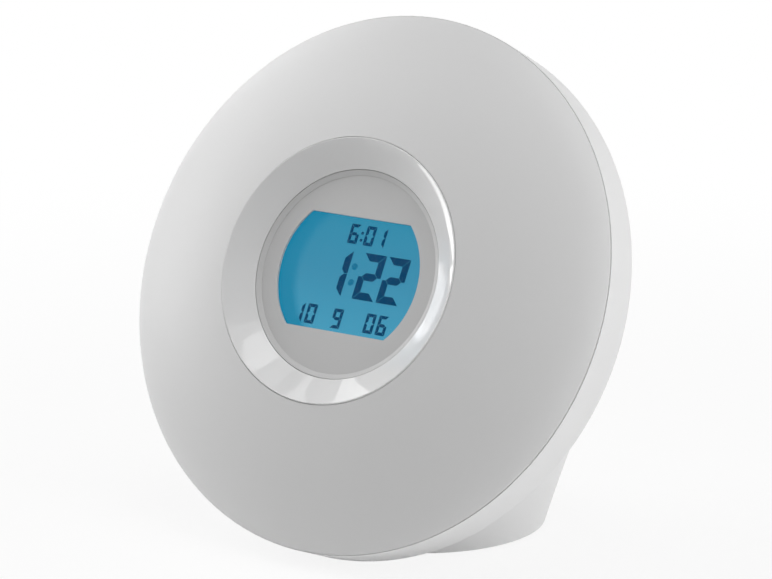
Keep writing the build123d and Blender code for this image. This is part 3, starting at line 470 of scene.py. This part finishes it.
looks = {
    "housing_white": moulded("housingWhite", (0.80, 0.80, 0.80), 0.42, 3200.0, 0.12, gloss=0.2),
    "opal_diffuser": moulded("opalDiffuser", (0.80, 0.80, 0.80), 0.4, 2600.0, 0.06, gloss=0.18),
    "bezel_white": moulded("bezelGloss", (0.80, 0.80, 0.80), 0.35, 900.0, 0.01, 0.03, coat=1.0, gloss=0.2),
    "mask_grey": moulded("maskGrey", (0.62, 0.62, 0.62), 0.55, 3000.0, 0.06),
    "inner_white": moulded("innerWhite", (0.78, 0.78, 0.77), 0.5, 2500.0, 0.1),
    "cover_white": moulded("coverWhite", (0.74, 0.74, 0.74), 0.48, 2600.0, 0.2),
    "key_white": moulded("keyWhite", (0.72, 0.72, 0.73), 0.4, 3000.0, 0.1),
    "switch_black": moulded("switchBlack", (0.03, 0.03, 0.03), 0.45, 3000.0, 0.2),
    "part_black": moulded("partBlack", (0.035, 0.035, 0.035), 0.4, 3500.0, 0.2),
    "jack_black": moulded("jackBlack", (0.03, 0.03, 0.03), 0.35, 3000.0, 0.1),
    "guide_clear": moulded("guideClear", (0.65, 0.8, 0.95), 0.2, 800.0, 0.02),
    "led_lamp": moulded("ledLamp", (0.85, 0.75, 0.35), 0.3, 2500.0, 0.05),
    "board_white": circuitBoard("boardWhite", (0.78, 0.78, 0.76), (0.70, 0.70, 0.68)),
    "board_green": circuitBoard("boardGreen", (0.02, 0.13, 0.06), (0.03, 0.2, 0.09)),
    "zebra_rubber": speckled("zebraRubber", (0.09, 0.09, 0.09)),
    "foot_rubber": speckled("footRubber", (0.12, 0.12, 0.125)),
    "cone_paper": speckled("conePaper", (0.04, 0.04, 0.042)),
    "magnet_iron": speckled("magnetFerrite", (0.06, 0.06, 0.062)),
    "screw_steel": metal("screwSteel", (0.62, 0.61, 0.60), 0.3),
    "speaker_steel": metal("speakerSteel", (0.30, 0.30, 0.31), 0.35),
    "nut_steel": metal("nutSteel", (0.6, 0.6, 0.6), 0.3),
    "cell_steel": metal("cellSteel", (0.68, 0.68, 0.68), 0.25),
    "contact_brass": metal("contactBrass", (0.70, 0.60, 0.42), 0.3),
    "clear_window": makeClearWindow(),
    "lcd_glass": makeLcdGlow(),
}
segmentInk = makeSegmentInk("segmentInk", lcd["segment"])
faintInk = makeSegmentInk("faintInk", lcd["faintSegment"])

for name, piece in nodes.items():
    piece.data.materials.clear()
    piece.data.materials.append(looks[slots[name]])
print("finishes on", len(nodes), "nodes")


# a free copy of a node's mesh, merged, with nothing of it selected
def copyNode(nodeName, pieceName):
    deselectAll()
    piece = bpy.data.objects.new(pieceName, nodes[nodeName].data.copy())
    bpy.context.scene.collection.objects.link(piece)
    piece.select_set(True)
    bpy.context.view_layer.objects.active = piece
    bpy.ops.mesh.customdata_custom_splitnormals_clear()
    bpy.ops.object.mode_set(mode="EDIT")
    bpy.ops.mesh.select_mode(type="VERT")
    bpy.ops.mesh.select_all(action="SELECT")
    bpy.ops.mesh.remove_doubles(threshold=0.0005 * mm)
    bpy.ops.mesh.select_all(action="DESELECT")
    bpy.ops.object.mode_set(mode="OBJECT")
    return piece


# the changed copy, still in edit mode, takes the node's place
def takeOver(piece, nodeName, body):
    bpy.ops.object.mode_set(mode="OBJECT")
    bpy.ops.object.shade_smooth_by_angle(angle=smoothAngle)
    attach(piece, body)
    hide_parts(nodeName)
    return piece


lipSeat = {
    "level": -0.9 * mm,  # where the bezel's lip lies on the diffuser, along the disc's axis
    "innerRadius": 44.1 * mm,
    "drop": 1.4 * mm,  # the seat's inner edge goes this much deeper, so that the lip keeps its wall
    "tolerance": 0.02 * mm,
}


# a node's shape with its lip seat sloped alongside the bezel's cone
def makeSloped(nodeName, pieceName):
    piece = copyNode(nodeName, pieceName)
    for vertex in piece.data.vertices:
        place = vertex.co - faceCentre
        level = place.dot(faceOut)
        radius = (place - level * faceOut).length
        onSeat = abs(level - lipSeat["level"]) < lipSeat["tolerance"]
        vertex.select = onSeat and radius < lipSeat["innerRadius"]
    bpy.ops.object.mode_set(mode="EDIT")
    bpy.ops.transform.translate(value=-lipSeat["drop"] * faceOut)
    return takeOver(piece, nodeName, "clock")


bezelRing = makeSloped("display_bezel", "bezelRing")
lampCover = makeSloped("light_diffuser", "lampCover")
print("bezel and lamp cover", len(bezelRing.data.polygons) + len(lampCover.data.polygons), "faces")


wideKey = {
    "node": "snooze_key",
    "room": 0.3 * mm,  # its flange stays this far from those below it
}


# the wide key with the lower edge of its flange cut back, so that it slides past the keys below
def makeWideKey():
    joints = frame["record"]["behaviour"]["joints"]
    press = next(Vector(joint["axis"]) for joint in joints if joint["child"] == wideKey["node"])
    upKeypad = Vector((1, 0, 0)).cross(press).normalized()
    if upKeypad.z < 0:
        upKeypad.negate()
    piece = copyNode(wideKey["node"], "snoozeKeyCap")
    lowest = min((vertex.co for vertex in piece.data.vertices), key=upKeypad.dot)
    cut = lowest + wideKey["room"] * upKeypad
    editWhole()
    bpy.ops.mesh.bisect(plane_co=cut, plane_no=upKeypad, use_fill=True, clear_inner=True)
    return takeOver(piece, wideKey["node"], wideKey["node"])


snoozeKeyCap = makeWideKey()
print("wide key", len(snoozeKeyCap.data.polygons), "faces")


wallPatch = {
    "across": 21.5 * mm,  # on the back wall, over the speaker's lower screws
    "up": 28.2 * mm,
    "behind": 200.0 * mm,  # rays that find the wall start this far back
    "rays": 12,
    "reach": 1.9 * mm,  # the wall's slope is felt this far out
    "radius": 1.5 * mm,
    "sides": 48,
    "thickness": 0.35 * mm,
    "rim": 0.2 * mm,  # its edge falls away over this width
    "crown": 0.025 * mm,
    "proud": 0.03 * mm,
}


# middle and outward direction of the wall round a place on the back
def feelWall(x, z):
    wall = nodes["rear_housing"]
    middle, outward = Vector(), Vector()
    for ray in range(wallPatch["rays"]):
        turn = 2 * math.pi * ray / wallPatch["rays"]
        aside, above = wallPatch["reach"] * math.cos(turn), wallPatch["reach"] * math.sin(turn)
        start = Vector((x + aside, wallPatch["behind"], z + above))
        place, normal = wall.ray_cast(start, Vector((0, -1, 0)))[1:3]
        middle += place / wallPatch["rays"]
        outward += normal / wallPatch["rays"]
    return middle, outward


# closes the wall where a screw's blind hole comes through it
def makeWallPatch(x, z):
    middle, outward = feelWall(x, z)
    deselectAll()
    bpy.ops.mesh.primitive_circle_add(
        vertices=wallPatch["sides"], radius=wallPatch["radius"], fill_type="NGON"
    )
    patch = bpy.context.object
    editWhole()
    bpy.ops.mesh.extrude_region_move(TRANSFORM_OT_translate={"value": (0, 0, wallPatch["thickness"])})
    bpy.ops.mesh.inset(thickness=wallPatch["rim"])
    bpy.ops.transform.translate(value=(0, 0, wallPatch["crown"]))
    bpy.ops.mesh.select_all(action="SELECT")
    bpy.ops.mesh.normals_make_consistent(inside=False)
    bpy.ops.object.mode_set(mode="OBJECT")
    top = wallPatch["thickness"] + wallPatch["crown"] - wallPatch["proud"]
    turned = outward.to_track_quat("Z", "Y").to_matrix().to_4x4()
    patch.data.transform(Matrix.Translation(middle) @ turned @ Matrix.Translation((0, 0, -top)))
    patch.data.materials.append(looks["housing_white"])
    return patch


bothSides = [makeWallPatch(side * wallPatch["across"], wallPatch["up"]) for side in (-1, 1)]
wallPatches = joinPieces(bothSides, "wallPatches")
bpy.ops.object.shade_smooth_by_angle(angle=smoothAngle)
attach(wallPatches, "clock")
print("wall patches", len(wallPatches.data.polygons), "faces")


display = {
    "lift": 0.03 * mm,  # the bars stand this far out of the display glass
    "thickness": 0.03 * mm,
    "slant": 4.5,  # italic angle, degrees; all that follows is in mm
    "small": {"width": 3.9, "height": 6.9, "bar": 1.15, "gap": 0.07},
    "large": {"width": 9.0, "height": 16.3, "bar": 2.65, "gap": 0.09},
    "numbers": [  # what it shows, size, and its top left corner from the middle of the window
        ("6", "small", -4.3, 17.9),
        ("0", "small", 2.2, 17.9),
        ("1", "small", 6.8, 17.9),
        ("1", "large", -10.4, 8.6),
        ("2", "large", 3.3, 8.6),
        ("2", "large", 13.2, 8.6),
        ("1", "small", -19.2, -11.7),
        ("0", "small", -14.1, -11.7),
        ("9", "small", -3.2, -11.9),
        ("0", "small", 10.3, -11.7),
        ("6", "small", 15.4, -11.7),
    ],
    "dots": [(0.9, 15.1), (0.9, 12.6)],
    "dotSize": 0.95,
    "colon": [(0.95, 3.3), (0.95, -2.25)],
    "colonRadius": 1.2,
    "colonSides": 32,
}

# which bars each number lights, clockwise from the top, with the middle one last
litBars = {"0": "abcdef", "1": "bc", "2": "abged", "6": "acdefg", "9": "abcdfg"}

glassPoints = nodes["lcd_front_glass"].data.vertices
glassFront = max((point.co - faceCentre).dot(faceOut) for point in glassPoints)
toFace = Matrix(
    (
        (1, 0, 0, faceCentre.x),
        (0, faceUp.y, faceOut.y, faceCentre.y),
        (0, faceUp.z, faceOut.z, faceCentre.z),
        (0, 0, 0, 1),
    )
)


# gives the flat outline in edit mode its thickness and ends it as a finished plate
def thicken(plate, name, material):
    bpy.ops.mesh.select_all(action="SELECT")
    bpy.ops.mesh.extrude_region_move(TRANSFORM_OT_translate={"value": (0, 0, display["thickness"])})
    bpy.ops.mesh.select_all(action="SELECT")
    bpy.ops.mesh.normals_make_consistent(inside=False)
    bpy.ops.object.mode_set(mode="OBJECT")
    plate.name = name
    plate.data.materials.append(material)
    return plate


# one bar, in mm from its number's lower left corner; each cut is a point and the side that goes
def modelBar(name, left, low, right, high, cuts):
    deselectAll()
    bpy.ops.mesh.primitive_plane_add(size=mm)
    plate = bpy.context.object
    editWhole()
    bpy.ops.transform.resize(value=(right - left, high - low, 1), center_override=(0, 0, 0))
    bpy.ops.transform.translate(value=((left + right) / 2 * mm, (low + high) / 2 * mm, 0))
    for x, y, towardsX, towardsY in cuts:
        bpy.ops.mesh.select_all(action="SELECT")
        bpy.ops.mesh.bisect(plane_co=(x * mm, y * mm, 0), plane_no=(towardsX, towardsY, 0), clear_outer=True)
    return thicken(plate, name, segmentInk)


# the seven bars of one size of number, mitred where they meet
def modelBars(size):
    width, height, bar, gap = size["width"], size["height"], size["bar"], size["gap"]
    half = height / 2
    bars = {}
    for name, side, low in (("a", 1, height - bar), ("d", -1, 0)):
        edge = low + bar if side > 0 else low
        cuts = [(gap, edge, -1, -side), (width - gap, edge, 1, -side)]
        bars[name] = modelBar("bar" + name, gap, low, width - gap, low + bar, cuts)
    cuts = [(bar / 2 + gap, half, -1, way) for way in (-1, 1)]
    cuts += [(width - bar / 2 - gap, half, 1, way) for way in (-1, 1)]
    bars["g"] = modelBar("barg", bar / 2 + gap, half - bar / 2, width - bar / 2 - gap, half + bar / 2, cuts)
    for name, side, way in (("f", -1, 1), ("b", 1, 1), ("e", -1, -1), ("c", 1, -1)):
        left = 0 if side < 0 else width - bar
        outer = left if side < 0 else left + bar
        ends = sorted((half + way * gap, half + way * (half - gap)))
        cuts = [
            (outer, half + way * (half - gap), -side, way),
            (left + bar / 2, half + way * gap, -side, -way),
        ]
        bars[name] = modelBar("bar" + name, left, ends[0], left + bar, ends[1], cuts)
    return bars


# a copy with its own mesh, moved on the face by mm and leaned by the slant
def placeCopy(source, x, y):
    piece = source.copy()
    piece.data = source.data.copy()
    bpy.context.scene.collection.objects.link(piece)
    lean = Matrix.Identity(4)
    lean[0][1] = math.tan(math.radians(display["slant"]))
    piece.data.transform(toFace @ Matrix.Translation((x * mm, y * mm, glassFront + display["lift"])) @ lean)
    return piece


def modelDot(name, radius, sides, turn, material):
    deselectAll()
    bpy.ops.mesh.primitive_circle_add(vertices=sides, radius=radius * mm, fill_type="NGON")
    plate = bpy.context.object
    editWhole()
    bpy.ops.transform.rotate(value=turn, orient_axis="Z", center_override=(0, 0, 0))
    return thicken(plate, name, material)


def makeNumbers():
    bars = {size: modelBars(display[size]) for size in ("small", "large")}
    dot = modelDot("dot", display["dotSize"] / math.sqrt(2), 4, math.pi / 4, segmentInk)
    plates = []
    for number, size, left, top in display["numbers"]:
        height = display[size]["height"]
        start = left - height / 2 * math.tan(math.radians(display["slant"]))
        plates += [placeCopy(bars[size][bar], start, top - height) for bar in litBars[number]]
    plates += [placeCopy(dot, x, y) for x, y in display["dots"]]
    for source in (*bars["small"].values(), *bars["large"].values(), dot):
        bpy.data.objects.remove(source)
    return joinPieces(plates, "lcdNumbers")


def makeColon():
    dot = modelDot("dot", display["colonRadius"], display["colonSides"], 0, faintInk)
    dots = [placeCopy(dot, x, y) for x, y in display["colon"]]
    bpy.data.objects.remove(dot)
    return joinPieces(dots, "lcdColon")


lcdNumbers = makeNumbers()
lcdColon = makeColon()
for piece in (lcdNumbers, lcdColon):
    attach(piece, "clock")
print("display segments", len(lcdNumbers.data.polygons), "faces")


studio = {
    "floorSize": 8.0,
    "floorTone": (0.92, 0.92, 0.92),
    "shadowWhite": 0.87,  # share of plain white in the floor round the clock, where its shadow falls
    "shadowStart": 0.14,  # metres from the clock's middle
    "shadowEnd": 0.6,  # from here on the floor is plain white
    "worldStrength": 0.02,  # what the world adds to the lamps
}


# one for a camera, glossy or transmission ray, else nought
def seenRay(tree):
    rays = tree.nodes.new("ShaderNodeLightPath")
    seen = mathNode(tree, "MAXIMUM", rays.outputs["Is Camera Ray"], rays.outputs["Is Glossy Ray"])
    return mathNode(tree, "MAXIMUM", seen, rays.outputs["Is Transmission Ray"])


def makeFloor():
    bpy.ops.mesh.primitive_plane_add(size=studio["floorSize"])
    floor = bpy.context.object
    floor.name = "floor"
    material, tree, shader = newMaterial("floorPaper")
    shader.inputs["Roughness"].default_value = 0.9
    paper = useGroup(
        tree,
        clouds,
        {
            "First colour": toned(studio["floorTone"], 1),
            "Second colour": toned(studio["floorTone"], 1.02),
            "Scale": 300.0,
        },
    )
    feed(tree, shader.inputs["Base Color"], paper["Colour"])
    plainWhite = tree.nodes.new("ShaderNodeEmission")
    plainWhite.inputs["Color"].default_value = (1, 1, 1, 1)
    plainWhite.inputs["Strength"].default_value = 1.0
    distance = tree.nodes.new("ShaderNodeVectorMath")
    distance.operation = "LENGTH"
    feed(tree, distance.inputs[0], ownCoordinates(tree))
    white = tree.nodes.new("ShaderNodeMapRange")
    white.interpolation_type = "SMOOTHSTEP"
    white.inputs["From Min"].default_value = studio["shadowStart"]
    white.inputs["From Max"].default_value = studio["shadowEnd"]
    white.inputs["To Min"].default_value = studio["shadowWhite"]
    white.inputs["To Max"].default_value = 1.0
    feed(tree, white.inputs["Value"], distance.outputs["Value"])
    mix = tree.nodes.new("ShaderNodeMixShader")
    feed(tree, mix.inputs["Fac"], mathNode(tree, "MULTIPLY", seenRay(tree), white.outputs["Result"]))
    feed(tree, mix.inputs[1], shader.outputs["BSDF"])
    feed(tree, mix.inputs[2], plainWhite.outputs["Emission"])
    feed(tree, tree.nodes["Material Output"].inputs["Surface"], mix.outputs["Shader"])
    floor.data.materials.append(material)


def makeWorld():
    world = bpy.data.worlds.new("studio")
    bpy.context.scene.world = world
    world.use_nodes = True
    tree = world.node_tree
    background = tree.nodes["Background"]
    dim = studio["worldStrength"]
    background.inputs["Color"].default_value = (1, 1, 1, 1)
    strength = mathNode(tree, "MULTIPLY_ADD", seenRay(tree), 1.0 - dim, dim)
    feed(tree, background.inputs["Strength"], strength)


# softboxes on a sphere about the clock: azimuth from the front, elevation, size in metres and watts
softboxes = {
    "radius": 1.7,
    "target": (0, 0, 0.09),
    "boxes": {
        "lowLeft": (-75, 5, 0.9, 0.9, 11.2),
        "sideLeft": (-100, 30, 0.9, 0.8, 4.2),
        "middleLeft": (-70, 30, 0.9, 0.8, 2.6),
        "highLeft": (-65, 52, 0.9, 0.8, 3.7),
        "lowRight": (80, 5, 0.9, 0.9, 8.4),
        "backRight": (110, 5, 0.9, 0.9, 10.6),
        "farRight": (140, 5, 0.9, 0.9, 1.5),
        "highRight": (60, 52, 1.7, 1.5, 1.5),
        "topFront": (-10, 78, 1.1, 1.1, 3.6),
        "topRight": (80, 78, 1.1, 1.1, 8.8),
    },
}


def makeSoftboxes():
    target = Vector(softboxes["target"])
    for name, (azimuth, elevation, width, height, power) in softboxes["boxes"].items():
        light = bpy.data.lights.new(name, "AREA")
        light.shape = "RECTANGLE"
        light.size = width
        light.size_y = height
        light.energy = power
        lamp = bpy.data.objects.new(name, light)
        bpy.context.scene.collection.objects.link(lamp)
        turn, rise = math.radians(azimuth), math.radians(elevation)
        way = Vector((math.sin(turn) * math.cos(rise), -math.cos(turn) * math.cos(rise), math.sin(rise)))
        lamp.location = target + softboxes["radius"] * way
        lamp.rotation_euler = (-way).to_track_quat("-Z", "Y").to_euler()


camera = {
    "right": (0.8246, 0.5657, 0.0),  # directions in the picture: to the right, and towards the viewer
    "back": (0.5484, -0.7993, 0.2455),
    "distance": 1.440,  # from the middle of the window
    "shiftRight": 0.01687,  # the view's middle from the window's
    "shiftUp": -0.00664,
    "lens": 197.8,
}


def makeCamera():
    right = Vector(camera["right"]).normalized()
    back = Vector(camera["back"]).normalized()
    up = back.cross(right)
    place = faceCentre + right * camera["shiftRight"] + up * camera["shiftUp"] + back * camera["distance"]
    data = bpy.data.cameras.new("studioCamera")
    data.lens = camera["lens"]
    eye = bpy.data.objects.new("studioCamera", data)
    bpy.context.scene.collection.objects.link(eye)
    eye.matrix_world = Matrix(
        (
            (right.x, up.x, back.x, place.x),
            (right.y, up.y, back.y, place.y),
            (right.z, up.z, back.z, place.z),
            (0, 0, 0, 1),
        )
    )
    bpy.context.scene.camera = eye


deselectAll()
makeFloor()
makeWorld()
makeSoftboxes()
makeCamera()
bpy.context.scene.view_settings.view_transform = "Standard"
print("studio ready")
